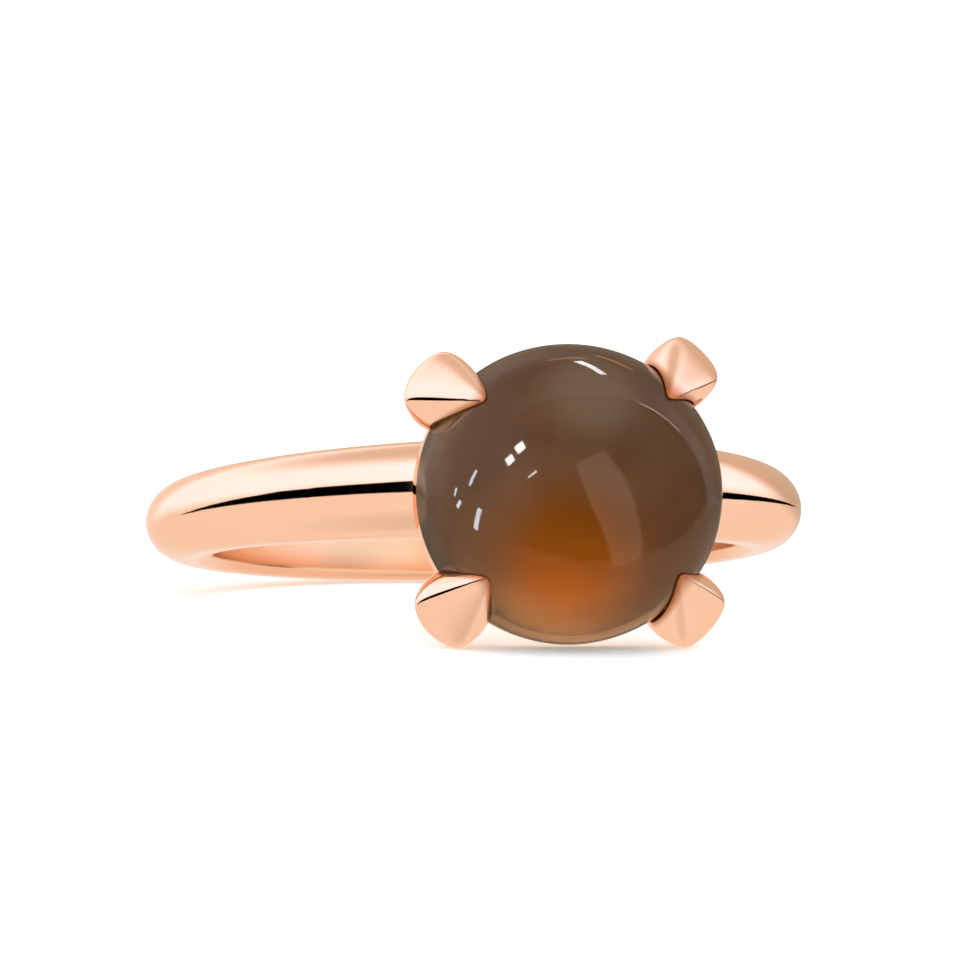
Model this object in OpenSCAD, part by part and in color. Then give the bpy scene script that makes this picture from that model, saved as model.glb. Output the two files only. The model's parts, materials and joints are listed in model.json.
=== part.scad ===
// Rose gold ring with one high round cabochon of smoky quartz, held by four thorn-shaped claws.
// Millimetres. The ring lies on its side as it would rest by itself: on its two lower claws and on
// the back of the shank. +Z is up, the stone faces -Y, and the origin is under the middle of it.

/* [Shank] */
// Diameter of the finger hole
finger_d = 17.3; // [15:0.1:20]
// Thickness of the shank, from the finger hole outwards
shank_t = 2.2; // [1.8:0.1:2.6]
// Width of the shank behind the finger
shank_w_back = 2.5; // [2:0.05:3]
// Width of the shank where it meets the setting
shank_w_head = 3.15; // [2.6:0.05:3.6]
// How late the shank widens on its way to the setting
shank_flare = 3.3; // [1:0.1:5]
// Share of the thickness that lies inside the widest line of the section
shank_inner_share = 0.38; // [0.3:0.01:0.5]

/* [Stone] */
// Diameter of the stone at its girdle
stone_d = 9.4; // [9:0.1:9.6]
// Height of the dome above the girdle
dome_h = 4.8; // [3.5:0.1:6]
// Fullness of the dome, where 2 is a plain ellipse
dome_full = 2.2; // [1.8:0.05:2.8]
// Height of the bevelled foot under the girdle
foot_h = 0.45; // [0.2:0.05:0.8]
// How far the foot draws in towards the base
foot_in = 0.4; // [0.1:0.05:0.8]

/* [Setting] */
// Air between the stone and the metal round it
seat_gap = 0.06; // [0.05:0.01:0.15]
// How far the girdle overhangs the collar that carries it
collar_in = 0.08; // [0.06:0.02:0.2]
// Height of the collar's straight wall
collar_h = 0.6; // [0.4:0.05:1]
// Dip of the soldered head below the shank's middle plane, in degrees
head_dip = 2.2; // [0:0.2:4]

/* [Claws] */
// Distance from the stone's axis to the claw's point
claw_tip_r = 4.3; // [4:0.05:4.5]
// Height of the claw's point above the girdle
claw_tip_z = 2.4; // [2:0.05:2.8]
// Distance from the stone's axis to the claw's outer corners
claw_out_r = 5.66; // [5.6:0.02:5.9]
// Height of the outer corners above the girdle
claw_out_z = 0.1; // [0:0.05:0.3]
// Half the width between the claw's side corners
claw_side = 0.8; // [0.5:0.05:0.9]
// Roundness of the claw's outer corners
claw_round = 0.52; // [0.4:0.02:0.6]
// Angle of the claws above and below the head's level line
claw_angle = 43.5; // [42:0.5:47]

/* [Hidden] */

gold = "#EDB894";
quartz = "#6B4A33";

// Shank: the section is an ellipse outside its widest line and a fuller curve inside it.
finger_r = finger_d / 2;
mid_r = finger_r + shank_inner_share * shank_t;
outer_rise = (1 - shank_inner_share) * shank_t;
inner_full = 2.6;
inner_over = 0.12;
inner_rise = shank_inner_share * shank_t + inner_over;
shank_steps = 72;
section_steps = 24;

// Stone and seat, measured along the head's own axis from the middle of the finger hole.
stone_r = stone_d / 2;
base_z = finger_r + shank_t + 0.2;
girdle_z = base_z + foot_h;
base_r = stone_r - foot_in;
collar_r = stone_r - collar_in;
collar_top_z = girdle_z - 0.12;
collar_foot_z = collar_top_z - collar_h;
dome_steps = 40;
bowl_root_r = 2.2;
bowl_root_z = finger_r + shank_t / 2;

// Claws: balls whose hull is the thorn.
claw_tip_ball = 0.16;
claw_half = 0.5;
claw_side_ball = 0.42;
claw_side_r = 4.85;
claw_side_z = 1.05;
claw_root_ball = 0.42;
claw_root_r = collar_r - 0.3;
claw_root_z = -0.9;
claw_turns = [claw_angle, 180 - claw_angle, 180 + claw_angle, 360 - claw_angle];
ball_steps = 24;

function shank_width(around) = shank_w_back
    + (shank_w_head - shank_w_back) * pow((1 + cos(around)) / 2, shank_flare);

// Distance from the middle of a rounded section to its edge, for a curve of the given fullness
function edge_reach(turn, full) =
    pow(pow(abs(cos(turn)), full) + pow(abs(sin(turn)), full), -1 / full);

// A point of the shank: around 0 is under the stone, turn 0 is the outside of the section
function shank_point(around, turn) =
    let (
        outside = cos(turn) >= 0,
        reach = edge_reach(turn, outside ? 2 : inner_full),
        r = mid_r + cos(turn) * reach * (outside ? outer_rise : inner_rise),
        z = sin(turn) * reach * shank_width(around) / 2
    )
    [r * sin(around), -r * cos(around), z];

// Radius of the dome at a height above the girdle
function dome_r(h) = stone_r * pow(1 - pow(h / dome_h, dome_full), 1 / dome_full);

// Support of the dome along a direction that leaves its axis by the given angle
function dome_support(angle) =
    let (dual = dome_full / (dome_full - 1))
    girdle_z * cos(angle)
        + pow(pow(dome_h * cos(angle), dual) + pow(stone_r * sin(angle), dual), 1 / dual);

// Rest: heights of the lowest points of the lower claws and of the shank's back, for a tilt.
claw_low = claw_out_r * sin(claw_angle) + claw_half * cos(claw_angle);
function claw_foot(tilt) = (girdle_z + claw_out_z) * sin(tilt - head_dip)
    - claw_low * cos(tilt - head_dip) - claw_round;
function back_foot(tilt) = -mid_r * sin(tilt)
    - norm([outer_rise * sin(tilt), shank_w_back / 2 * cos(tilt)]);

// The tilt at which both are at one height, by halving
function level_tilt(low, high, steps) =
    let (middle = (low + high) / 2)
    steps == 0 ? middle
        : claw_foot(middle) < back_foot(middle) ? level_tilt(middle, high, steps - 1)
        : level_tilt(low, middle, steps - 1);

rest_tilt = level_tilt(0, 30, 24);
rest_lift = -back_foot(rest_tilt);
front_reach = dome_support(rest_tilt - head_dip);
back_reach = mid_r * cos(rest_tilt)
    + norm([outer_rise * cos(rest_tilt), shank_w_back / 2 * sin(rest_tilt)]);
rest_shift = (front_reach - back_reach) / 2;

module at_rest() {
    translate([0, rest_shift, rest_lift])
        rotate([-rest_tilt, 0, 0])
            children();
}

// The head's own frame: its axis runs out along the children's +Z
module on_head() {
    rotate([90 + head_dip, 0, 0])
        children();
}

module shank() {
    points = [
        for (i = [0 : shank_steps - 1], k = [0 : section_steps - 1])
            shank_point(i * 360 / shank_steps, k * 360 / section_steps)
    ];
    faces = [
        for (i = [0 : shank_steps - 1], k = [0 : section_steps - 1])
            let (next_i = (i + 1) % shank_steps, next_k = (k + 1) % section_steps)
            [
                i * section_steps + k,
                i * section_steps + next_k,
                next_i * section_steps + next_k,
                next_i * section_steps + k
            ]
    ];
    polyhedron(points, faces, convexity = 8);
}

// The stone's outline from its axis outwards, grown on every side by the given gap
module stone_profile(gap) {
    dome = [
        for (i = [0 : dome_steps])
            let (a = i * 90 / dome_steps, h = dome_h * pow(sin(a), 2 / dome_full))
            [(i == dome_steps ? 0 : dome_r(h) + gap), girdle_z + h + gap * sin(a)]
    ];
    polygon(concat([[0, base_z - gap], [base_r + gap, base_z - gap]], dome));
}

module stone_solid(gap) {
    rotate_extrude($fn = 128)
        stone_profile(gap);
}

// Bowl that carries the stone: a straight collar under the girdle, drawn in to the shank
module seat() {
    rotate_extrude($fn = 128)
        polygon([
            [0, bowl_root_z],
            [bowl_root_r, bowl_root_z],
            [collar_r - 1.1, collar_foot_z - 0.75],
            [collar_r - 0.3, collar_foot_z - 0.25],
            [collar_r, collar_foot_z],
            [collar_r, collar_top_z],
            [0, collar_top_z]
        ]);
}

module ball(r, side, z, radius) {
    translate([r, side, girdle_z + z])
        sphere(radius, $fn = ball_steps);
}

module claw() {
    hull() {
        ball(claw_tip_r, 0, claw_tip_z, claw_tip_ball);
        for (side = [-1, 1]) {
            ball(claw_side_r, side * claw_side, claw_side_z, claw_side_ball);
            ball(claw_out_r, side * claw_half, claw_out_z, claw_round);
        }
        ball(claw_root_r, 0, claw_root_z, claw_root_ball);
    }
}

module shank_and_setting() {
    color(gold)
        at_rest()
            difference() {
                union() {
                    shank();
                    on_head() {
                        seat();
                        for (turn = claw_turns)
                            rotate([0, 0, turn])
                                claw();
                    }
                }
                on_head()
                    stone_solid(seat_gap);
                cylinder(r = finger_r, h = 4 * shank_w_head, center = true, $fn = 180);
            }
}

module cabochon() {
    color(quartz)
        at_rest()
            on_head()
                stone_solid(0);
}

shank_and_setting();
cabochon();
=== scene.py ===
# %% [markdown]
# # A rose gold ring with a smoky quartz cabochon
#
# A ring like this has a plain band, a small cup that carries the stone, four thorn-shaped claws and
# one high, round stone. The cup and the claws are soldered to the band, and the claws hold the
# stone. It lies on its side: on the two lower claws in front and on the back of the band.
# The imported model fixes every size and place, so it is loaded first.

# %% The frame
import json
import math
import bmesh
import bpy
from mathutils import Matrix, Vector


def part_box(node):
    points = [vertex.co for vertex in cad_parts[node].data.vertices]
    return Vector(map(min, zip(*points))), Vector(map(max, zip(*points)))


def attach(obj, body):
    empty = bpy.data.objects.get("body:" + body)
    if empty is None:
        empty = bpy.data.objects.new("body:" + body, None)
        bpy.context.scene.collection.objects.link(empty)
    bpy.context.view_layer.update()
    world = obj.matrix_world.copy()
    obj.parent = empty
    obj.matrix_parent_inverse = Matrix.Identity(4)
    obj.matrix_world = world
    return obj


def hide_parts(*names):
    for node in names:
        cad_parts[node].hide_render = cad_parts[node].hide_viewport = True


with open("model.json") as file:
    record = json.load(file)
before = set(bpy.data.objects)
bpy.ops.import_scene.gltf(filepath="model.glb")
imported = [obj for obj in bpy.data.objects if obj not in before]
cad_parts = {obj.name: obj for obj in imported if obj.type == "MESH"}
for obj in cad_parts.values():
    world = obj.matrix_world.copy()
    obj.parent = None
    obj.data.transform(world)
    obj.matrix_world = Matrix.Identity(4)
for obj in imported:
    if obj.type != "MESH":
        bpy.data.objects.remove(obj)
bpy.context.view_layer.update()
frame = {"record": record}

# %% [markdown]
# ## Two frames for modelling
#
# A goldsmith turns the ring so that the part in hand lies square on the bench. The same helps here.
# The band is modelled round the Z axis, with the stone towards -Y. The stone, the cup and the claws
# are modelled on the stone's own axis, which is their +Z. Both frames are in millimetres. A matrix
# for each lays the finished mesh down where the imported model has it. The matrices come from the
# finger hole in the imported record, so they follow the model when it changes.

# %% From the bench to the table
finger_hole = frame["record"]["mounts"][0]
finger_centre = Vector(finger_hole["pos_m"])
finger_axis = Vector(finger_hole["axis"])
finger_r = finger_hole["dims"]["r_mm"]

MM = 0.001
HEAD_DIP = math.radians(2.2)

rest_tilt = math.atan2(finger_axis.y, finger_axis.z)
ring_turn = Matrix.Rotation(-rest_tilt, 4, "X")
band_frame = Matrix.Translation(finger_centre) @ ring_turn @ Matrix.Scale(MM, 4)
head_frame = band_frame @ Matrix.Rotation(math.pi / 2 + HEAD_DIP, 4, "X")
print("finger hole radius, mm:", finger_r, " tilt at rest, degrees:", round(math.degrees(rest_tilt), 2))

# %% [markdown]
# ## The camera
#
# The picture was taken from a little to the left of the stone and from just under the plane of the
# band, with a long lens, so the band shows almost no perspective. Those angles are measured in the
# ring's own frame. Now that the ring lies on the table, its stone looks slightly up, and the same
# view ends a few degrees above the floor.

# %% Camera
VIEW_AZIMUTH = math.radians(-14.6)
VIEW_ELEVATION = math.radians(-5.6)
VIEW_ROLL = math.radians(-1.3)
VIEW_DISTANCE = 196 * MM
PICTURE_SIZE = 960
PIXELS_PER_MM = 30.21
RING_PIXEL = (473.6, 517.4)
SENSOR = 36

def ring_direction(azimuth, elevation):
    """A direction given in the ring's own frame: azimuth 0 is the way the stone faces."""
    level = math.cos(elevation)
    local = Vector((math.sin(azimuth) * level, -math.cos(azimuth) * level, math.sin(elevation)))
    return ring_turn.to_3x3() @ local

towards_camera = ring_direction(VIEW_AZIMUTH, VIEW_ELEVATION)
level_right = ring_direction(VIEW_AZIMUTH + math.pi / 2, 0)
roll = Matrix.Rotation(VIEW_ROLL, 3, towards_camera)
picture_right = roll @ level_right
picture_up = towards_camera.cross(picture_right)

middle = PICTURE_SIZE / 2
aim_right = (middle - RING_PIXEL[0]) / PIXELS_PER_MM * MM
aim_up = (RING_PIXEL[1] - middle) / PIXELS_PER_MM * MM
camera_place = finger_centre + towards_camera * VIEW_DISTANCE
aim = finger_centre + picture_right * aim_right + picture_up * aim_up

back = (camera_place - aim).normalized()
right = (picture_right - back * picture_right.dot(back)).normalized()
up = back.cross(right)
camera_data = bpy.data.cameras.new("camera")
camera_data.sensor_width = SENSOR
camera_data.lens = PIXELS_PER_MM * VIEW_DISTANCE / MM / PICTURE_SIZE * SENSOR
camera_data.clip_start = 10 * MM
camera = bpy.data.objects.new("camera", camera_data)
camera.matrix_world = Matrix.Translation(camera_place) @ Matrix((right, up, back)).transposed().to_4x4()
bpy.context.scene.collection.objects.link(camera)
bpy.context.scene.camera = camera
print("lens, mm:", round(camera_data.lens, 1), " height over the floor, mm:", round(camera_place.z / MM, 1))

# %% [markdown]
# ## Shader maths as Python sums
#
# A material is a net of nodes. Written out link by link it is hard to read, so one small class
# wraps a socket: a sum, a product or a power of wires adds its Math node, and `add` makes any other
# node from its type, its settings and its inputs.

# %% The wire class
class Wire:
    """A socket of a node tree that can be used in Python sums."""

    def __init__(self, tree, socket=None):
        self.tree = tree
        self.socket = socket

    def add(self, kind, settings=None, inputs=None, output=0):
        """Make a node. Settings are set first, then the values or links of its sockets."""
        node = self.tree.nodes.new(kind)
        for name, value in (settings or {}).items():
            if name == "stops":
                fill_ramp(node.color_ramp, value)
            else:
                setattr(node, name, value)
        for name, value in (inputs or {}).items():
            if isinstance(value, Wire):
                self.tree.links.new(value.socket, node.inputs[name])
            else:
                node.inputs[name].default_value = value
        return Wire(self.tree, node.outputs[output] if node.outputs else None)

    def math(self, operation, first, second=0.0):
        return self.add("ShaderNodeMath", {"operation": operation}, {0: first, 1: second})

    def __add__(self, other):
        return self.math("ADD", self, other)

    def __radd__(self, other):
        return self.math("ADD", other, self)

    def __sub__(self, other):
        return self.math("SUBTRACT", self, other)

    def __rsub__(self, other):
        return self.math("SUBTRACT", other, self)

    def __mul__(self, other):
        return self.math("MULTIPLY", self, other)

    def __rmul__(self, other):
        return self.math("MULTIPLY", other, self)

    def __pow__(self, other):
        return self.math("POWER", self, other)

    def step(self, low, high):
        """0 under low and 1 over high, with a smooth way between them."""
        settings = {"interpolation_type": "SMOOTHSTEP"}
        return self.add("ShaderNodeMapRange", settings, {"Value": self, "From Min": low, "From Max": high})

    def blend(self, first, second):
        """The first colour where this wire is 0 and the second where it is 1."""
        return self.add("ShaderNodeMix", {"data_type": "RGBA"}, {0: self, 6: first, 7: second}, 2)

    def vector(self, operation, first, second, output=0):
        return self.add("ShaderNodeVectorMath", {"operation": operation}, {0: first, 1: second}, output)

    def along(self, axis):
        """How far this place or direction lies along an axis."""
        return self.vector("DOT_PRODUCT", self, axis, 1)

    def noise(self, grain, detail=2.0):
        """Soft noise over this place, from 0 to 1, with grains of the given size in metres."""
        return self.add("ShaderNodeTexNoise", None, {"Vector": self, "Scale": 1 / grain, "Detail": detail})

    def noise_along(self, axes, grains, detail=1.0):
        """Noise whose grains have another length along each of three axes."""
        scaled = [self.along(axis) * (1 / grain) for axis, grain in zip(axes, grains)]
        spread = self.add("ShaderNodeCombineXYZ", None, {0: scaled[0], 1: scaled[1], 2: scaled[2]})
        return spread.noise(1, detail)

# %% Ramps and greys
def fill_ramp(color_ramp, stops):
    """Give a colour ramp its (position, colour) stops."""
    while len(color_ramp.elements) > 1:
        color_ramp.elements.remove(color_ramp.elements[-1])
    color_ramp.elements[0].position = stops[0][0]
    color_ramp.elements[0].color = stops[0][1]
    for position, color in stops[1:]:
        color_ramp.elements.new(position).color = color

def grey(value):
    """A colour without a hue."""
    return (value, value, value, 1)

print("grey card:", grey(0.18))

# %% [markdown]
# ## Light
#
# Polished gold has no look of its own: it shows the room. A jeweller photographs it in a tent of
# white cloth, brightest high up in front. The tent here is the world's background. It is painted by
# direction in the ring's own frame, so its bands of light run along the band of the ring. The tent is
# a function, because the screens below use the same light once more.

# %% How bright the tent is
# Rows of: degrees above the band's plane, and the warm and the cool part of the light there.
FRONT_LIGHT = [
    (-90, 0.8, 0.8), (-45, 1.0, 1.0), (9, 1.0, 1.0), (15, 1.3, 1.6), (22, 1.45, 2.05),
    (48, 1.45, 2.05), (57, 1.35, 1.7), (64, 1.1, 1.3), (74, 0.86, 0.86), (90, 0.8, 0.8),
]
BACK_LIGHT = [
    (-90, 0.8, 0.8), (-45, 0.9, 0.86), (-8, 1.0, 0.96),
    (3, 0.6, 0.52), (22, 0.72, 0.64), (90, 0.8, 0.78),
]
COOL_IN_GREEN = 0.17

def light_stops(levels):
    """Ramp stops from rows of levels. The green of the light lies near its warm part."""
    stops = []
    for angle, warm, cool in levels:
        green = (1 - COOL_IN_GREEN) * warm + COOL_IN_GREEN * cool
        stops.append(((math.sin(math.radians(angle)) + 1) / 2, (warm, green, cool, 1)))
    return stops

print("brightest part of the tent:", max(cool for angle, warm, cool in FRONT_LIGHT))

# %% The tent by direction
HANGING_SIDES = (120, -160)
HANGING_DROP = 0.17
PLAIN_SIDE = {"azimuth": 170, "lean": 0.3, "edge": (0.86, 1.0)}
BACK_SIDE = {"azimuth": 142, "lean": 0.48, "edge": (0.89, 1.05)}

def facing(way, azimuth):
    """How far a direction or a place lies towards an azimuth, in degrees from where the stone faces."""
    return way.along(ring_direction(math.radians(azimuth), 0))

def on_side(direction, height, side):
    """1 on a side of the tent and 0 off it, with a soft edge that leans with the height."""
    return (facing(direction, side["azimuth"]) + height * side["lean"]).step(*side["edge"])

def tent_light(direction):
    """The colour of the tent's light from a direction. The bright cloth hangs lower at two sides."""
    height = direction.along(finger_axis)
    right_side, left_side = [facing(direction, azimuth) for azimuth in HANGING_SIDES]
    hanging = direction.math("MAXIMUM", direction.math("MAXIMUM", right_side, left_side), 0)
    front_place = (height + hanging * HANGING_DROP) * 0.5 + 0.5
    back_place = height * 0.5 + 0.5
    ramp = "ShaderNodeValToRGB"
    front_light = direction.add(ramp, {"stops": light_stops(FRONT_LIGHT)}, {0: front_place})
    back_light = direction.add(ramp, {"stops": light_stops(BACK_LIGHT)}, {0: back_place})
    side_light = on_side(direction, height, PLAIN_SIDE).blend(front_light, grey(1))
    return on_side(direction, height, BACK_SIDE).blend(side_light, back_light)

print("the bright cloth hangs lower towards these azimuths:", *HANGING_SIDES)

# %% The world
world = bpy.data.worlds.new("studio")
bpy.context.scene.world = world
world.use_nodes = True
world.node_tree.nodes.clear()
world.cycles.sampling_method = "NONE"
direction = Wire(world.node_tree).add("ShaderNodeTexCoord", output=0)
background = direction.add("ShaderNodeBackground", None, {"Color": tent_light(direction)})
direction.add("ShaderNodeOutputWorld", None, {"Surface": background})
print("nodes in the tent:", len(world.node_tree.nodes))

# %% [markdown]
# ## Helpers for modelling
#
# Every piece goes the same way: a primitive is added, named and opened in edit mode, points are
# picked by their place, operators shape them, and the finished mesh is laid down in the ring's
# resting place. These few helpers keep that order, and the cells below then read as a list of steps.

# %% Bench helpers
# Points nearer than this count as one, in the units of the bench.
NEAR = 0.001

def begin(name):
    """Name the primitive that was just added and open it for work on its points."""
    piece = bpy.context.object
    piece.name = name
    piece.data.name = name
    bpy.ops.object.transform_apply(location=True, rotation=True, scale=True)
    bpy.ops.object.mode_set(mode="EDIT")
    bpy.ops.mesh.select_mode(type="VERT")
    return piece

def pick(test):
    """Select the points whose place passes the test."""
    mesh = bmesh.from_edit_mesh(bpy.context.object.data)
    for vert in mesh.verts:
        vert.select_set(test(vert.co))
    mesh.select_flush_mode()
    bmesh.update_edit_mesh(bpy.context.object.data)

def everything(place):
    """Test that every point passes."""
    return True

def stretch(scale, pivot=(0, 0, 0)):
    """Scale the picked points about a pivot, by a factor along each axis."""
    bpy.ops.transform.resize(value=scale, center_override=pivot)

def shift(x, y, z):
    """Move the picked points."""
    bpy.ops.transform.translate(value=(x, y, z))

print("points count as one when they are nearer than", NEAR)

# %% Closing a piece and laying it down
def close_up(piece, levels):
    """Leave edit mode with the faces pointing outwards, and round the mesh by subdivision."""
    pick(everything)
    bpy.ops.mesh.remove_doubles(threshold=NEAR)
    bpy.ops.mesh.normals_make_consistent(inside=False)
    bpy.ops.object.mode_set(mode="OBJECT")
    rounding = piece.modifiers.new("rounding", "SUBSURF")
    rounding.levels = levels
    rounding.render_levels = levels
    bpy.ops.object.modifier_apply(modifier=rounding.name)
    bpy.ops.object.shade_smooth()

def lay_down(piece, bench, node):
    """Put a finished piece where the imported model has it, and enter it as part of the ring."""
    bpy.ops.object.select_all(action="DESELECT")
    piece.select_set(True)
    bpy.context.view_layer.objects.active = piece
    piece.matrix_world = bench
    bpy.ops.object.transform_apply(location=True, rotation=True, scale=True)
    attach(piece, "root")
    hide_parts(node)
    lowest = min(vert.co.z for vert in piece.data.vertices)
    print(piece.name, "faces:", len(piece.data.polygons), " lowest point, mm:", round(lowest * 1000, 3))

bpy.ops.object.select_all(action="DESELECT")

# %% [markdown]
# ## The table
#
# A plain white table reaches far round the ring. It is kept out of reflections, so that the gold shows
# the tent alone. A pale shell far round the room is seen by the camera alone, so that a low view
# meets no black behind the table.

# %% Table and backdrop
TABLE_R = 1.5
TABLE_WHITE = (0.9, 0.895, 0.76, 1)
TABLE_GLOW = 0.3

def plain_material(name, color, glow):
    """A matt material, or one that shines by itself."""
    material = bpy.data.materials.new(name)
    material.use_nodes = True
    shader = material.node_tree.nodes["Principled BSDF"]
    shader.inputs["Base Color"].default_value = color
    shader.inputs["Roughness"].default_value = 1
    shader.inputs["Specular IOR Level"].default_value = 0
    shader.inputs["Emission Color"].default_value = grey(1)
    shader.inputs["Emission Strength"].default_value = glow
    return material

bpy.ops.mesh.primitive_circle_add(vertices=128, radius=TABLE_R, fill_type="NGON")
table = bpy.context.object
table.name = "table"
table.data.materials.append(plain_material("table_white", TABLE_WHITE, TABLE_GLOW))
table.visible_glossy = False
bpy.ops.mesh.primitive_uv_sphere_add(segments=64, ring_count=32, radius=TABLE_R)
backdrop = bpy.context.object
backdrop.name = "backdrop"
backdrop.data.materials.append(plain_material("backdrop_white", grey(0), 1))

def hide_from(piece, *rays):
    """Hide a piece of the studio from some kinds of ray, and keep it out of the light sampling."""
    for ray in rays:
        setattr(piece, "visible_" + ray, False)
    piece.data.materials[0].cycles.emission_sampling = "NONE"

hide_from(backdrop, "diffuse", "glossy", "transmission", "volume_scatter", "shadow")
bpy.ops.object.select_all(action="DESELECT")
print("table across, m:", 2 * TABLE_R)

# %% [markdown]
# ## Two black cards and a dim room
#
# A tent is open where the camera looks in. A black card at each side of the ring gives the gold its
# black line, and the dim room behind the camera shows in the stone. All three are cut from large
# balls round the ring. A lamp can't make a dark reflection, and a dark patch in the tent would show in
# every piece. Screens can be linked: each of them is the tent again for a piece that has no use for
# it. So the gold never shows the dim room, and the stone and one claw show no black line.

# %% Screens
CUT_NEAR = 0.00001
gold_only = bpy.data.collections.new("gold_only")
stone_only = bpy.data.collections.new("stone_only")
no_line = bpy.data.collections.new("no_line")

def start_screen(name, radius):
    """A ball round the ring, open in edit mode."""
    bpy.ops.mesh.primitive_uv_sphere_add(segments=192, ring_count=96, radius=radius)
    return begin(name)

def slice_off(point, normal):
    """Cut the open mesh with a plane and drop what lies on the side that the normal points to."""
    pick(everything)
    bpy.ops.mesh.bisect(plane_co=point, plane_no=normal, clear_outer=True, threshold=CUT_NEAR)

def finish_screen(screen, receivers):
    """Give a screen its own material, seen in reflections alone and shining for its receivers."""
    bpy.ops.object.mode_set(mode="OBJECT")
    material = bpy.data.materials.new(screen.name)
    material.use_nodes = True
    material.node_tree.nodes.clear()
    screen.data.materials.append(material)
    screen.light_linking.receiver_collection = receivers
    hide_from(screen, "camera", "diffuse", "transmission", "volume_scatter", "shadow")
    bpy.ops.object.select_all(action="DESELECT")
    place = Wire(material.node_tree).add("ShaderNodeTexCoord", output=3)
    return place.vector("NORMALIZE", place, (0, 0, 0))

print("groups that can receive a light of their own:", gold_only.name, stone_only.name, no_line.name)

# %% The black cards
# Each card starts at an azimuth in degrees and runs to the back of the ring. Each of its edges has a
# height over the band's plane, as a share of the card's distance, and a lean towards the front.
CARD_R = 1.35
CARDS = {
    "black_card_left": {
        "start": -34.5,
        "edges": {"top": (0.185, 0.115), "top behind": (0.17, 0.31), "bottom": (-0.096, -0.04)},
    },
    "black_card_right": {
        "start": 75,
        "edges": {"top": (0.04, -0.025), "bottom": (-0.111, -0.22)},
    },
}

def cut_card(name, start, edges):
    """Cut a card out of a ball, and give back the wire of the direction in which the ring sees it."""
    card = start_screen(name, CARD_R)
    quarter = math.copysign(math.pi / 2, start)
    slice_off((0, 0, 0), ring_direction(math.radians(start) - quarter, 0))
    slice_off((0, 0, 0), ring_direction(-quarter, 0))
    for edge, (height, lean) in edges.items():
        across = finger_axis - lean * ring_direction(0, 0)
        edge_place = across * (height * CARD_R / across.length_squared)
        slice_off(edge_place, -across if edge == "bottom" else across)
    return finish_screen(card, no_line)

card_directions = [cut_card(name, card["start"], card["edges"]) for name, card in CARDS.items()]
print("black cards:", *CARDS)

# %% The dim room
ROOM_R = 1.42
ROOM_LEVEL = 0.32
LEAF_LEVEL = 0.04
ROOM_WARM = (1, 0.85, 0.69, 1)
LEAF_EDGE = -0.3
LEAF_RISE = 0.66
LEAF_FALL = -1.15
LEAF_SOFT = (-0.015, 0.015)
LEAF_SIDE = (-0.75, -0.35)

def room_level(direction):
    """How bright the dim room is against the tent: darkest in a leaf-shaped part in front."""
    height = direction.along(finger_axis)
    edge = direction.math("MAXIMUM", height * LEAF_RISE, height * LEAF_FALL) + LEAF_EDGE
    leaf = (facing(direction, 0) - edge).step(*LEAF_SOFT) * facing(direction, 90).step(*LEAF_SIDE)
    return ROOM_LEVEL - leaf * (ROOM_LEVEL - LEAF_LEVEL)

print("the dim room against the tent:", ROOM_LEVEL, " in its leaf:", LEAF_LEVEL)

# %% Light of the room and the cards
room = start_screen("dim_room", ROOM_R)
room_direction = finish_screen(room, gold_only)
room.visible_transmission = True
cloth = room_direction.add("ShaderNodeEmission", None, {"Color": tent_light(room_direction)})
opening = room_direction.add("ShaderNodeBsdfTransparent", None, {"Color": ROOM_WARM})
mixed = {0: room_level(room_direction), 1: cloth, 2: opening}
both = room_direction.add("ShaderNodeMixShader", None, mixed)
room_direction.add("ShaderNodeOutputMaterial", None, {"Surface": both})
for direction in card_directions:
    room_light = {"Color": tent_light(direction), "Strength": room_level(direction)}
    shine = direction.add("ShaderNodeEmission", None, room_light)
    direction.add("ShaderNodeOutputMaterial", None, {"Surface": shine})
print("faces of the dim room:", len(room.data.polygons))

# %% [markdown]
# ## The band
#
# The band's section is a half ellipse outside, where it is seen, and a fuller, flatter curve inside,
# where it lies on the finger. A goldsmith rolls such a section as wire and bends it round. Here a
# circle is shaped into the section and spun round the finger's axis. Then each slice is widened a
# little more the nearer it lies to the stone.

# %% The band's section
BAND_T = 2.2
BAND_W_BACK = 2.5
BAND_W_HEAD = 3.15
BAND_FLARE = 3.3
INNER_SHARE = 0.38
INNER_FULL = 5.0
INNER_OVER = 0.12
SECTION_POINTS = 48
BAND_SLICES = 144

mid_r = finger_r + INNER_SHARE * BAND_T
outer_rise = (1 - INNER_SHARE) * BAND_T
inner_rise = INNER_SHARE * BAND_T + INNER_OVER
section_middle = (0, -mid_r, 0)

bpy.ops.mesh.primitive_circle_add(
    vertices=SECTION_POINTS, radius=1, location=section_middle, rotation=(0, math.pi / 2, 0)
)
band = begin("band")

def on_inner_row(turn):
    """Test for the two section points that lie a turn away from the inmost one."""
    return lambda place: place.y > -mid_r + NEAR and abs(abs(place.z) - math.sin(turn)) < NEAR

for step in range(1, SECTION_POINTS // 4):
    turn = step * math.tau / SECTION_POINTS
    reach = (math.cos(turn) ** INNER_FULL + math.sin(turn) ** INNER_FULL) ** (-1 / INNER_FULL)
    pick(on_inner_row(turn))
    stretch((1, reach, reach), section_middle)
pick(lambda place: place.y > -mid_r + NEAR)
stretch((1, inner_rise, 1), section_middle)
pick(lambda place: place.y < -mid_r - NEAR)
stretch((1, outer_rise, 1), section_middle)
pick(lambda place: place.y > -finger_r)
stretch((1, 0, 1), (0, -finger_r, 0))
pick(everything)
stretch((1, 1, BAND_W_BACK / 2), section_middle)
print("section, mm:", BAND_T, "x", BAND_W_BACK)

# %% Spin the section and widen the slices
bpy.ops.mesh.spin(steps=BAND_SLICES, angle=math.tau, center=(0, 0, 0), axis=(0, 0, 1))
pick(everything)
bpy.ops.mesh.remove_doubles(threshold=NEAR)

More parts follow.
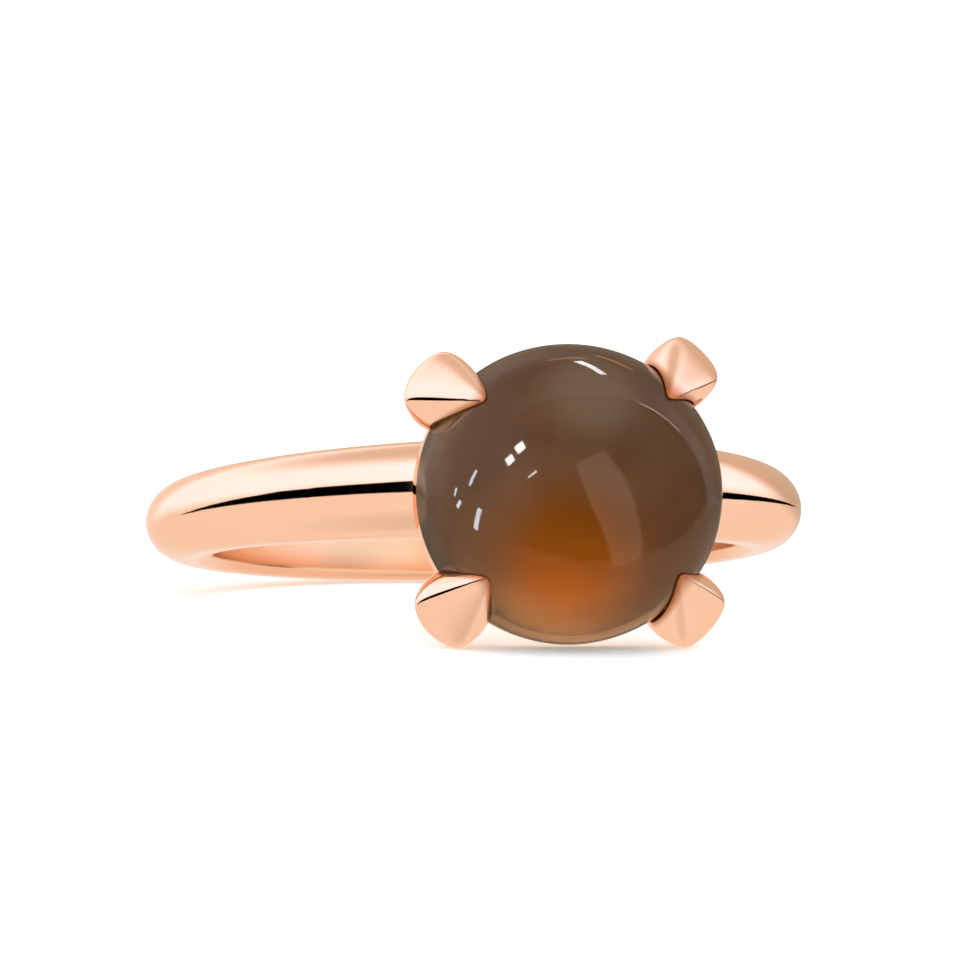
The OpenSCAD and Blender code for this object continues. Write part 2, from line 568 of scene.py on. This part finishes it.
def on_slices(around):
    """Test for the two slices that lie an angle away from the stone."""
    half_slice = math.pi / BAND_SLICES
    return lambda place: abs(math.atan2(abs(place.x), -place.y) - around) < half_slice

for step in range(BAND_SLICES // 2 + 1):
    around = step * math.tau / BAND_SLICES
    flare = ((1 + math.cos(around)) / 2) ** BAND_FLARE
    width = BAND_W_BACK + (BAND_W_HEAD - BAND_W_BACK) * flare
    pick(on_slices(around))
    stretch((1, 1, width / BAND_W_BACK))
close_up(band, 1)
lay_down(band, band_frame, "shank_and_setting")

# %% [markdown]
# ## The stone
#
# A cabochon is a dome with no facets. It is ground on a wheel from a slab, polished, and given a
# short bevel under its widest line, the girdle, so that it drops into its seat. A ball is cut in
# half here, and each of its rings is scaled until the dome is a little fuller than an ellipse.
# The foot is extruded from the girdle, and the girdle's edge is broken with a small bevel.

# %% The stone's sizes
stone_low, stone_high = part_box("cabochon")
stone_r = (stone_high.x - stone_low.x) / MM / 2
DOME_H = 4.8
DOME_FULL = 2.2
FOOT_H = 0.45
FOOT_IN = 0.4
STONE_WIDE = 1.03
GIRDLE_Z = 11.5
DOME_RINGS = 96
girdle = (0, 0, GIRDLE_Z)
print("stone across, mm:", round(2 * stone_r, 2))

# %% Half a ball, shaped ring by ring
RING_NEAR = 0.0004
bpy.ops.mesh.primitive_uv_sphere_add(segments=DOME_RINGS, ring_count=DOME_RINGS, radius=1)
stone = begin("stone")
pick(lambda place: place.z < -NEAR)
bpy.ops.mesh.delete(type="VERT")

def on_ring(rise):
    """Test for the ring of dome points that lies at an angle above the girdle."""
    spot = Vector((math.cos(rise), math.sin(rise)))
    return lambda place: (Vector((math.hypot(place.x, place.y), place.z)) - spot).length < RING_NEAR

ring_step = math.pi / DOME_RINGS
for step in range(DOME_RINGS // 2 + 1):
    rise = step * ring_step
    wide = math.cos(rise) ** (2 / DOME_FULL - 1) if step < DOME_RINGS // 2 else 1
    high = math.sin(rise) ** (2 / DOME_FULL - 1) if step else 1
    pick(on_ring(rise))
    stretch((wide, wide, high))
pick(everything)
stretch((stone_r, stone_r, DOME_H))
print("dome, mm:", round(stone_r, 2), "from its axis and", DOME_H, "high")

# %% The foot and the base
GIRDLE_BREAK = 0.05
BASE_BREAK = 0.04
FLOOR_SHARES = (0.95, 0.7, 0.4)
base_r = stone_r - FOOT_IN
pick(lambda place: place.z < NEAR)
bpy.ops.mesh.extrude_edges_move()
shift(0, 0, -FOOT_H)
stretch((base_r / stone_r, base_r / stone_r, 1))
for share in FLOOR_SHARES:
    bpy.ops.mesh.extrude_edges_move()
    stretch((share, share, 1), (0, 0, -FOOT_H))
bpy.ops.mesh.extrude_edges_move()
bpy.ops.mesh.merge(type="CENTER")
pick(lambda place: abs(place.z) < NEAR)
bpy.ops.mesh.bevel(offset=GIRDLE_BREAK, segments=3)
pick(lambda place: place.z < NEAR - FOOT_H and math.hypot(place.x, place.y) > base_r - NEAR)
bpy.ops.mesh.bevel(offset=BASE_BREAK, segments=2)
pick(everything)
shift(*girdle)
stretch((STONE_WIDE, 1, 1))
close_up(stone, 1)
print("stone, mm:", [round(side, 2) for side in stone.dimensions])

# %% [markdown]
# ## The cup
#
# The cup under the stone is turned on a lathe: a short straight collar, a chamfered seat for the
# stone's foot, and a bowl that draws in to the band. A lathe makes a shape from its outline, and so
# does this cell: it starts from one ring of points and pulls it along the outline, ring by ring.
# The floor of the seat is left with the lathe's fine lines, since nobody polishes under a stone.

# %% The cup's sizes
SEAT_GAP = 0.06
COLLAR_IN = 0.08
COLLAR_H = 0.6
COLLAR_TOP_DROP = 0.12
RIM_DROP = 0.15
RIM_BREAK = 0.04
RIM_ROUND = 0.3
FLOOR_BREAK = 0.04
FLOOR_GAP = 0.02
ROOT_R = 2.2
BOWL_FULL = 1.6
BOWL_RINGS = 16
CUP_SIDES = 128

collar_r = stone_r - COLLAR_IN
rim_z = GIRDLE_Z - RIM_DROP
collar_foot_z = GIRDLE_Z - COLLAR_TOP_DROP - COLLAR_H
root_z = finger_r + BAND_T / 2
seat_floor_z = GIRDLE_Z - FOOT_H - SEAT_GAP
seat_floor_r = base_r + FLOOR_GAP
print("collar, mm:", round(2 * collar_r, 2), "across")

# %% The cup, pulled ring by ring
bpy.ops.mesh.primitive_circle_add(vertices=CUP_SIDES, radius=ROOT_R, location=(0, 0, root_z))
cup = begin("cup")
ring_now = [ROOT_R, root_z]

def pull_to(radius, z):
    """Extrude the picked ring of points and bring it to the next radius and height."""
    bpy.ops.mesh.extrude_edges_move()
    shift(0, 0, z - ring_now[1])
    stretch((radius / ring_now[0], radius / ring_now[0], 1), (0, 0, z))
    ring_now[:] = radius, z

for step in range(1, BOWL_RINGS + 1):
    across = math.sin(step * math.pi / 2 / BOWL_RINGS)
    down = (1 - across ** BOWL_FULL) ** (1 / BOWL_FULL)
    pull_to(ROOT_R + (collar_r - ROOT_R) * across, collar_foot_z - (collar_foot_z - root_z) * down)
pull_to(collar_r, rim_z - RIM_BREAK)
pull_to(collar_r - RIM_ROUND * RIM_BREAK, rim_z - RIM_ROUND * RIM_BREAK)
pull_to(collar_r - RIM_BREAK, rim_z)
pull_to(seat_floor_r + FLOOR_BREAK, seat_floor_z + FLOOR_BREAK)
pull_to(seat_floor_r, seat_floor_z)
for share in FLOOR_SHARES:
    pull_to(seat_floor_r * share, seat_floor_z)
bpy.ops.mesh.extrude_edges_move()
bpy.ops.mesh.merge(type="CENTER")
pick(lambda place: place.z < root_z + NEAR)
bpy.ops.mesh.extrude_edges_move()
bpy.ops.mesh.merge(type="CENTER")
pick(everything)
stretch((STONE_WIDE, 1, 1))
close_up(cup, 1)
print("cup, mm:", [round(side, 2) for side in cup.dimensions])

# %% [markdown]
# ## The claws
#
# Each claw is a rounded thorn with its point on the stone. Two ridges run from the point to the
# outer corners, with a broad face between them and a face on each side. A four-sided cone has just
# these faces. Its corners are moved to their places, its base is pulled down in two steps to the
# claw's root, and subdivision rounds it. The ridges and the outer corners are creased a little, so
# that they stay visible. Where a claw would cut into the stone, it is pushed out to the stone's skin,
# as a setter bends it.

# %% One claw
POINT_OUT = 4.2
POINT_OVER = 2.8
OUTER_OUT = 6.36
OUTER_SIDE = 1.36
OUTER_OVER = 0.55
INNER_OUT = 3.7
INNER_SIDE = 1.35
BELLY_DROP = 0.9
BELLY_SIZE = 0.95
ROOT_DROP = 0.9
ROOT_SIZE = 0.6
ROOT_IN = 0.55

bpy.ops.mesh.primitive_cone_add(vertices=4, radius1=1, radius2=0, depth=1, end_fill_type="NOTHING")
claw = begin("claw")

def move_corner(where, target):
    """Move the corner of the cone that lies at a place to its new place."""
    pick(lambda place: (place - Vector(where)).length < NEAR)
    shift(*(Vector(target) - Vector(where)))

move_corner((0, 0, 0.5), (POINT_OUT, 0, GIRDLE_Z + POINT_OVER))
move_corner((0, 1, -0.5), (OUTER_OUT, OUTER_SIDE, GIRDLE_Z + OUTER_OVER))
move_corner((1, 0, -0.5), (OUTER_OUT, -OUTER_SIDE, GIRDLE_Z + OUTER_OVER))
move_corner((-1, 0, -0.5), (INNER_OUT, INNER_SIDE, GIRDLE_Z + OUTER_OVER))
move_corner((0, -1, -0.5), (INNER_OUT, -INNER_SIDE, GIRDLE_Z + OUTER_OVER))
print("claw's point over the girdle, mm:", POINT_OVER)

# %% The claw's body, down to its root
claw_base_z = GIRDLE_Z + OUTER_OVER
claw_middle = (OUTER_OUT + INNER_OUT) / 2

def drop_base(drop, size):
    """Pull the four base corners down, and scale them about their middle."""
    bpy.ops.mesh.extrude_edges_move()
    shift(0, 0, -drop)
    stretch((size, size, 1), (claw_middle, 0, 0))

pick(lambda place: abs(place.z - claw_base_z) < NEAR)
drop_base(BELLY_DROP, BELLY_SIZE)
drop_base(ROOT_DROP, ROOT_SIZE)
shift(-ROOT_IN, 0, 0)
bpy.ops.mesh.edge_face_add()
print("claw's height, mm:", round(POINT_OVER - OUTER_OVER + BELLY_DROP + ROOT_DROP, 2))

# %% Creases along the ridges
RIDGE_CREASE = 0.25
CORNER_CREASE = 0.3

def is_point(place):
    """Test for the claw's point."""
    return place.z > GIRDLE_Z + POINT_OVER - NEAR

def is_outer_corner(place, side):
    """Test for the base corner that lies outside on one side."""
    return abs(place.z - claw_base_z) < NEAR and place.x > claw_middle and place.y * side > 0

for side in (-1, 1):
    pick(lambda place: is_point(place) or is_outer_corner(place, side))
    bpy.ops.transform.edge_crease(value=RIDGE_CREASE)
    pick(lambda place: is_outer_corner(place, side))
    bpy.ops.transform.vert_crease(value=CORNER_CREASE)
bpy.ops.object.mode_set(mode="OBJECT")
print("claw cage points:", len(claw.data.vertices))

# %% How each claw is bent
# The turn round the stone is in degrees, and the width is a factor. All else is in millimetres: how
# far the claw is moved outwards, how far its point lies from the stone's axis, and how far the point
# swings to one side.
CLAWS = {
    "claw_upper_right": {"turn": 45.5, "wide": 0.93, "out": 0.17, "point_out": 3.4, "swing": 0.25},
    "claw_upper_left": {"turn": 142, "wide": 1.0, "out": 0.0, "point_out": 4.05, "swing": -0.2},
    "claw_lower_left": {"turn": 223.5, "wide": 1.0, "out": 0.06, "point_out": 4.05, "swing": -0.25},
    "claw_lower_right": {"turn": 316.5, "wide": 1.0, "out": 0.07, "point_out": 3.6, "swing": -0.1},
}

def dome_height(radius):
    """Height of the stone's skin above the girdle, at a distance from its axis."""
    return DOME_H * (1 - (radius / stone_r) ** DOME_FULL) ** (1 / DOME_FULL)

print("height of the stone's skin under each claw's point, mm:")
for name, bend in CLAWS.items():
    print("   ", name, round(dome_height(bend["point_out"]), 2))

# %% Four claws round the stone
POINT_LIFT = 0.22
POINT_BREAK = 0.35
CLAW_ROUNDING = 4
CONTACT_REACH = 0.32
CONTACT_ROUNDS = 8

def open_copy(source, name):
    """Copy a piece with its mesh and open the copy for work on its points."""
    copy = source.copy()
    copy.data = source.data.copy()
    copy.name = name
    copy.data.name = name
    bpy.context.scene.collection.objects.link(copy)
    bpy.ops.object.select_all(action="DESELECT")
    copy.select_set(True)
    bpy.context.view_layer.objects.active = copy
    bpy.ops.object.mode_set(mode="EDIT")
    return copy

def near_stone(place):
    """Test for points that touch the stone's skin or lie just off it."""
    found, spot, normal, index = stone.closest_point_on_mesh(place)
    return (place - spot).length < CONTACT_REACH

claws = []
for name, bend in CLAWS.items():
    copy = open_copy(claw, name)
    pick(lambda place: not is_point(place))
    stretch((1, bend["wide"], 1))
    shift(bend["out"], 0, 0)
    pick(is_point)
    rise = dome_height(bend["point_out"]) + POINT_LIFT - POINT_OVER
    shift(bend["point_out"] - POINT_OUT, bend["swing"], rise)
    bpy.ops.mesh.bevel(offset=POINT_BREAK, affect="VERTICES")
    close_up(copy, CLAW_ROUNDING)
    copy.matrix_world = Matrix.Rotation(math.radians(bend["turn"]), 4, "Z")
    bpy.ops.object.transform_apply(location=True, rotation=True, scale=True)
    skin = copy.modifiers.new("skin of the stone", "SHRINKWRAP")
    skin.target = stone
    skin.wrap_mode = "OUTSIDE"
    skin.offset = SEAT_GAP
    bpy.ops.object.modifier_apply(modifier=skin.name)
    bpy.ops.object.mode_set(mode="EDIT")
    pick(near_stone)
    bpy.ops.mesh.vertices_smooth(factor=0.5, repeat=CONTACT_ROUNDS)
    bpy.ops.object.mode_set(mode="OBJECT")
    claws.append(copy)
bpy.data.objects.remove(claw)
print("claws bent over the stone:", len(claws))

# %% Lay the head down on the table
for piece in claws:
    lay_down(piece, head_frame, "shank_and_setting")
lay_down(cup, head_frame, "shank_and_setting")
lay_down(stone, head_frame, "cabochon")

# %% [markdown]
# ## Rose gold
#
# Rose gold is gold with copper in it. Its colour is in the reflection itself, so the material is a
# plain metal with a pink tint. What makes it look real is small: the polishing wheel leaves
# hairlines that run round the band, the polish is not equally bright everywhere, and the surface is
# never quite flat. The inner face of a band is only satin, because the finger hides it.

# %% What all the gold shares
GOLD_PALE = (0.97, 0.605, 0.42, 1)
GOLD_DEEP = (0.955, 0.585, 0.40, 1)
GOLD_EDGE = (0.97, 0.84, 0.75, 1)
POLISH = 0.035
POLISH_WORN = 0.05
CLOUD_GRAIN = 1.6 * MM
PEEL_GRAIN = 0.55 * MM
HAIR_LENGTH = 6 * MM
HAIR_WIDTH = 0.05 * MM
HAIR_SHARE = 0.3
POLISH_DEPTH = 0.0012 * MM

def start_material(name):
    """A new material with no nodes, and the wire that reads the place on the piece."""
    material = bpy.data.materials.new(name)
    material.use_nodes = True
    material.node_tree.nodes.clear()
    place = Wire(material.node_tree).add("ShaderNodeTexCoord", output=3)
    return material, place

def polish(place):
    """Roughness of the polish, which is not equally bright everywhere."""
    return place.noise(CLOUD_GRAIN) * POLISH_WORN + POLISH

def gold_finish(place, roughness, height, depth, tints=()):
    """Close a gold material: colour clouds, tints and painted shade under their masks, roughness, and a bump.
    """
    color = place.noise(CLOUD_GRAIN).blend(GOLD_PALE, GOLD_DEEP)
    for mask, tint in tints:
        color = mask.blend(color, tint)
    bump = place.add("ShaderNodeBump", None, {"Height": height, "Strength": 1.0, "Distance": depth})
    shader = place.add("ShaderNodeBsdfPrincipled", None, {
        "Base Color": color,
        "Metallic": 1.0,
        "Roughness": roughness,
        "Normal": bump,
        "Specular Tint": GOLD_EDGE,
    })
    place.add("ShaderNodeOutputMaterial", None, {"Surface": shader})

print("roughness of the polish:", POLISH, "to", round(POLISH + POLISH_WORN, 3))

# %% [markdown]
# ## Gold of the band
#
# The wheel's hairlines run round the band, so their noise is stretched along the angle round the
# finger and not along X, Y or Z. The inner face is satin and a little paler. Behind the finger, its
# edges see only more gold, so painted shade, a deeper brown tint, darkens them there. Masks by
# distance from the finger's axis find these faces, so they stay in place when the mesh changes.

# %% Where the inner face lies
GOLD_INSIDE = (0.985, 0.735, 0.515, 1)
# Painted shade: a deep brown tint on the inner face's edges behind the finger.
INNER_EDGE_SHADE = (0.87, 0.375, 0.18, 1)
INNER_R = (9.0 * MM, 9.4 * MM)
FLAT_R = (8.65 * MM, 8.665 * MM)
EDGE_R = (9.3 * MM, 9.5 * MM)
EDGE_OFF_MIDDLE = (0.35 * MM, 0.95 * MM)
EDGE_AZIMUTH = 165
EDGE_BEHIND = (1.5 * MM, 4 * MM)
EDGE_SHADE_SHARE = 0.5

band_gold, place = start_material("rose_gold_band")
spoke = place.vector("SUBTRACT", place, finger_centre)
rise = spoke.along(finger_axis)
radius = place.vector("LENGTH", place.vector("CROSS_PRODUCT", spoke, finger_axis), (0, 0, 0), 1)
inside = 1 - radius.step(*INNER_R)
flat_inside = 1 - radius.step(*FLAT_R)
off_middle = rise.math("ABSOLUTE", rise)
behind = facing(spoke, EDGE_AZIMUTH).step(*EDGE_BEHIND)
inner_edge_shade = off_middle.step(*EDGE_OFF_MIDDLE) * (1 - radius.step(*EDGE_R)) * behind * EDGE_SHADE_SHARE
print("the inner face ends at a radius of", round(INNER_R[1] / MM, 2), "mm")

# %% Hairlines and colour of the band
SATIN = 0.16
INNER_HAIRS = 0.4

around = place.math("ARCTAN2", facing(spoke, 90), 0 - facing(spoke, 0))
wheel_place = place.add("ShaderNodeCombineXYZ", None, {
    0: around * (mid_r * MM / HAIR_LENGTH),
    1: radius * (1 / HAIR_WIDTH),
    2: rise * (1 / HAIR_WIDTH),
})
height = wheel_place.noise(1, 1.0) * (HAIR_SHARE + inside * INNER_HAIRS) + place.noise(PEEL_GRAIN)
inner_tint_and_shade = ((flat_inside, GOLD_INSIDE), (inner_edge_shade, INNER_EDGE_SHADE))
gold_finish(place, polish(place) + inside * SATIN, height, POLISH_DEPTH, inner_tint_and_shade)
band.data.materials.append(band_gold)
print("nodes in the band's gold:", len(band_gold.node_tree.nodes))

# %% [markdown]
# ## Gold of the claws and the cup
#
# The claws are polished along their length. Where a claw meets the stone, the wheel doesn't reach, so
# the gold is rougher there, and a thin dark brown line of painted shade darkens that crease. It could be
# painted point by point, but the dome's own formula tells how far a place lies off the stone, and the
# line then follows the stone by itself.

# %% How far a place lies off the stone
CORNER_NEAR = 0.08
CORNER_FAR = 0.36
CORNER_RISE = 0.5 * MM

to_head = head_frame.to_3x3().normalized()
head_right = to_head @ Vector((1, 0, 0))
head_up = to_head @ Vector((0, 1, 0))
head_out = to_head @ Vector((0, 0, 1))

claw_gold, place = start_material("rose_gold_claw")
over_girdle = place.vector("SUBTRACT", place, head_frame @ Vector(girdle))
high = over_girdle.along(head_out)
out = place.vector("LENGTH", place.vector("CROSS_PRODUCT", over_girdle, head_out), (0, 0, 0), 1)
out_share = out * (1 / stone_r / MM)
high_share = high.math("MAXIMUM", high * (1 / DOME_H / MM), 0)
off_stone = (out_share ** DOME_FULL + high_share ** DOME_FULL) ** (1 / DOME_FULL) - 1
contact_shade = (1 - off_stone.step(CORNER_NEAR / stone_r, CORNER_FAR / stone_r)) * high.step(0, CORNER_RISE)
print("the dark line ends", CORNER_FAR, "mm off the stone")

# %% Hairlines and colour of the claws and the cup
# Painted shade: a dark brown line where a claw meets the stone.
CONTACT_SHADE_COLOR = (0.45, 0.13, 0.035, 1)
CORNER_SATIN = 0.3

head_axes = (head_right, head_up, head_out)
hairs = place.noise_along(head_axes, (HAIR_WIDTH, HAIR_WIDTH, HAIR_LENGTH))
height = hairs * HAIR_SHARE + place.noise(PEEL_GRAIN)
contact_shade_tints = ((contact_shade, CONTACT_SHADE_COLOR),)
gold_finish(place, polish(place) + contact_shade * CORNER_SATIN, height, POLISH_DEPTH, contact_shade_tints)
for piece in (cup, *claws):
    piece.data.materials.append(claw_gold)
print("nodes in the claws' gold:", len(claw_gold.node_tree.nodes))

# %% [markdown]
# ## The brushed floor of the seat
#
# The floor shows only through the stone. It keeps the lathe's lines, which spread the light that comes
# down to it. A lathe's lines are circles, but through the dome straight ones look the same, and their
# noise is simpler. The floor is found by its height, and its faces get this gold as a second slot.

# %% Brushed floor of the seat
BRUSH_WIDTH = 0.09 * MM
BRUSH_LENGTH = 3 * MM
BRUSHED = 0.38
BRUSHED_MORE = 0.2
BRUSH_DEPTH = 0.016 * MM
FLOOR_NEAR = 0.02 * MM

seat_gold, place = start_material("rose_gold_seat")
lines = place.noise_along(head_axes, (BRUSH_WIDTH, BRUSH_LENGTH, BRUSH_LENGTH), 2.0)
gold_finish(place, lines * BRUSHED_MORE + BRUSHED, lines, BRUSH_DEPTH)
cup.data.materials.append(seat_gold)
floor_middle = head_frame @ Vector((0, 0, seat_floor_z))
for face in cup.data.polygons:
    if abs((face.center - floor_middle).dot(head_out)) < FLOOR_NEAR:
        face.material_index = 1
print("faces of the brushed floor:", sum(face.material_index for face in cup.data.polygons))

# %% [markdown]
# ## Smoky quartz
#
# Smoky quartz is clear brown glass to the eye, often with a little milk in it. Nearly all of its
# colour comes from the depth of stone that the light crosses on its way down to the gold floor and
# back, so most of the brown is in the volume. The surface itself is a plain polished dielectric, a
# little duller near the girdle. Milk lies in it in soft clouds, painted as colour, since real clouds in
# a volume render slowly. Painted light lies over them: a pale painted highlight high in the stone, a
# painted amber glow low in it, and painted shade that darkens it towards the girdle.

# %% Colours and painted light in the quartz
MILK_LIGHT = (0.375, 0.195, 0.09, 1)
MILK_DARK = (0.29, 0.142, 0.058, 1)
MILK_GRAIN = 2.4 * MM
MILK_STEP = (0.35, 0.65)
# Painted glow: amber light low in the stone, where the dome gathers light onto the floor.
PAINTED_GLOW = {"color": (0.40, 0.12, 0.005, 1), "place": (-1.1, -2.1, 15.8), "full": 1.05 * MM, "end": 3.0 * MM}
# Painted highlight: a pale soft patch high in the stone.
PAINTED_HIGHLIGHT = {"color": (0.52, 0.36, 0.2, 1), "place": (-0.2, 2.8, 15.5), "full": 0.44 * MM, "end": 2.2 * MM}
# Painted shade: the stone is darker brown towards the girdle.
RIM_SHADE = (0.16, 0.095, 0.05, 1)
RIM_TOP = 1.9 * MM

def add_patch(place, color, patch):
    """Lay a round patch of painted light over the stone's colour, full at its middle and gone at its end."""
    away = place.vector("DISTANCE", place, head_frame @ Vector(patch["place"]), 1)
    return away.step(patch["full"], patch["end"]).blend(patch["color"], color)

quartz, place = start_material("smoky_quartz")
high = place.vector("SUBTRACT", place, head_frame @ Vector(girdle)).along(head_out)
milk_and_painted_light = place.noise(MILK_GRAIN, 3.0).step(*MILK_STEP).blend(MILK_LIGHT, MILK_DARK)
milk_and_painted_light = add_patch(place, milk_and_painted_light, PAINTED_GLOW)
milk_and_painted_light = add_patch(place, milk_and_painted_light, PAINTED_HIGHLIGHT)
milk_and_painted_light = high.step(0, RIM_TOP).blend(RIM_SHADE, milk_and_painted_light)
print("the darker rim ends", round(RIM_TOP / MM, 1), "mm over the girdle")

# %% Surface and depth of the quartz
QUARTZ_IOR = 1.54
QUARTZ_CLEAR = 0.8
QUARTZ_POLISH = 0.045
QUARTZ_WORN = 0.02
QUARTZ_PEEL = 0.8 * MM
QUARTZ_DEPTH = 0.0008 * MM
RIM_DULL = 0.28
RIM_DULL_STEP = (0.3 * MM, 1.25 * MM)
SMOKE = (0.7, 0.68, 0.4, 1)
SMOKE_DENSITY = 200

peel = {"Height": place.noise(QUARTZ_PEEL), "Strength": 1.0, "Distance": QUARTZ_DEPTH}
dull_rim = (1 - high.step(*RIM_DULL_STEP)) * RIM_DULL
stone_shader = place.add("ShaderNodeBsdfPrincipled", None, {
    "Base Color": milk_and_painted_light,
    "Roughness": place.noise(CLOUD_GRAIN) * QUARTZ_WORN + QUARTZ_POLISH + dull_rim,
    "IOR": QUARTZ_IOR,
    "Transmission Weight": QUARTZ_CLEAR,
    "Normal": place.add("ShaderNodeBump", None, peel),
})
smoke = place.add("ShaderNodeVolumeAbsorption", None, {"Color": SMOKE, "Density": SMOKE_DENSITY})
place.add("ShaderNodeOutputMaterial", None, {"Surface": stone_shader, "Volume": smoke})
stone.data.materials.append(quartz)
print("nodes in the quartz:", len(quartz.node_tree.nodes))

# %% [markdown]
# ## Lamps in the stone
#
# A polished dome is a small round mirror, and shows each lamp as a bright spot or streak at its own
# place. A picture of a room could be wrapped round the scene, but a row of numbers for each lamp is
# easier to move. The lamps are linked to the stone, so the gold keeps the soft light of the tent.

# %% Who receives what
stone_only.objects.link(stone)
no_line.objects.link(stone)
no_line.objects.link(bpy.data.objects["claw_lower_right"])
for piece in (band, cup, *claws):
    gold_only.objects.link(piece)

# %% The lamps
# az and el in degrees, wide and tall in millimetres at LAMP_DISTANCE, roll in degrees
LAMP_DISTANCE = 400 * MM
WHITE = (1.0, 1.0, 1.0)
BLUE = (0.78, 0.86, 1.0)
WARM = (1.0, 0.75, 0.55)
AMBER = (1.0, 0.42, 0.12)
LAMPS = {
    "window_upper": {"az": -46, "el": 28.5, "wide": 48, "tall": 48, "roll": 40, "light": 22},
    "window_lower": {"az": -53, "el": 20, "wide": 43, "tall": 43, "roll": 40, "light": 20},
    "small_streak": {"az": -33, "el": 9, "wide": 50, "tall": 9, "roll": 34, "light": 14},
    "blue_upper": {"az": -87, "el": 9.5, "wide": 76, "tall": 17, "roll": 56, "light": 14, "color": BLUE},
    "blue_left": {"az": -106, "el": 2.5, "wide": 34, "tall": 14, "roll": 56, "light": 12, "color": BLUE},
    "blue_middle": {"az": -103.5, "el": -4.5, "wide": 40, "tall": 18, "roll": 30, "light": 14, "color": BLUE},
    "blue_lower": {"az": -87, "el": -16, "wide": 112, "tall": 28, "roll": 46, "light": 14, "color": BLUE},
    "top_streak": {"az": 135, "el": 67.5, "wide": 130, "tall": 24, "roll": -20, "light": 9},
    "top_arc_left": {"az": 163, "el": 58, "wide": 90, "tall": 12, "roll": 15, "light": 2, "color": AMBER},
    "top_arc_right": {"az": 143, "el": 47, "wide": 90, "tall": 14, "roll": 0, "light": 1.8, "color": AMBER},
    "leaf_streak": {"az": 82, "el": 40, "wide": 180, "tall": 7, "roll": -59, "light": 4},
    "floor_light": {"az": 165, "el": -24, "wide": 300, "tall": 130, "roll": 0, "light": 0.7, "color": AMBER},
    "white_card": {"az": 23, "el": -16, "wide": 160, "tall": 600, "roll": 27, "light": 0.9, "color": WARM},
}
print("lamps:", len(LAMPS))

# %% Hang the lamps
stone_middle = head_frame @ Vector(girdle)

def hang_lamp(name, lamp):
    """Hang a flat lamp round the stone, facing it, with an even light of the given brightness."""
    data = bpy.data.lights.new(name, "AREA")
    data.shape = "RECTANGLE"
    data.size = lamp["wide"] * MM
    data.size_y = lamp["tall"] * MM
    data.energy = lamp["light"] * math.pi * data.size * data.size_y
    data.color = lamp.get("color", WHITE)
    towards = ring_direction(math.radians(lamp["az"]), math.radians(lamp["el"]))
    aside = ring_direction(math.radians(lamp["az"]) + math.pi / 2, 0)
    aside = Matrix.Rotation(math.radians(lamp["roll"]), 3, towards) @ aside
    lamp_axes = Matrix((aside, towards.cross(aside), towards)).transposed()
    hung = bpy.data.objects.new(name, data)
    hung.matrix_world = Matrix.Translation(stone_middle + towards * LAMP_DISTANCE) @ lamp_axes.to_4x4()
    hung.visible_camera = False
    hung.visible_diffuse = False
    hung.visible_transmission = False
    hung.light_linking.receiver_collection = stone_only
    bpy.context.scene.collection.objects.link(hung)

for name, lamp in LAMPS.items():
    hang_lamp(name, lamp)
print("lamps hang, mm from the stone:", round(LAMP_DISTANCE / MM))

# %% [markdown]
# ## The glow
#
# A clear dome gathers light as a lens does. Light that comes in from high in front falls on the gold
# floor low under the stone, and comes back as an amber glow. A flat lamp gives that glow a hard edge.
# A round cloth that is brightest in its middle gives it a soft one, so a cloth is hung here, which
# shines through the stone alone.

# %% The light that reaches the floor under the stone
GLOW_AZIMUTH = math.radians(15)
GLOW_ELEVATION = math.radians(31)
GLOW_DISTANCE = 400 * MM
GLOW_R = 190 * MM
GLOW_LIGHT = 60
GLOW_COLOR = (1, 0.91, 0.84, 1)

glow_way = ring_direction(GLOW_AZIMUTH, GLOW_ELEVATION)
glow_middle = stone_middle + glow_way * GLOW_DISTANCE
glow_turn = glow_way.to_track_quat("Z", "Y").to_euler()
bpy.ops.mesh.primitive_circle_add(
    vertices=64, radius=GLOW_R, fill_type="TRIFAN", location=glow_middle, rotation=glow_turn
)
bpy.ops.object.transform_apply(location=True, rotation=True, scale=True)
glow = bpy.context.object
glow.name = "glow_cloth"
glow_material, place = start_material("glow_cloth")
off_middle = place.vector("DISTANCE", place, glow_middle, 1)
strength = (1 - off_middle * (1 / GLOW_R)).step(0, 1) * GLOW_LIGHT
shine = place.add("ShaderNodeEmission", None, {"Color": GLOW_COLOR, "Strength": strength})
place.add("ShaderNodeOutputMaterial", None, {"Surface": shine})
glow.data.materials.append(glow_material)
hide_from(glow, "camera", "diffuse", "glossy", "volume_scatter", "shadow")
glow.light_linking.receiver_collection = stone_only
print("glow cloth, mm across:", round(2 * GLOW_R / MM))

# %% [markdown]
# ## Finish
#
# The Standard view keeps a white table white.

# %% Finish
bpy.context.scene.view_settings.view_transform = "Standard"
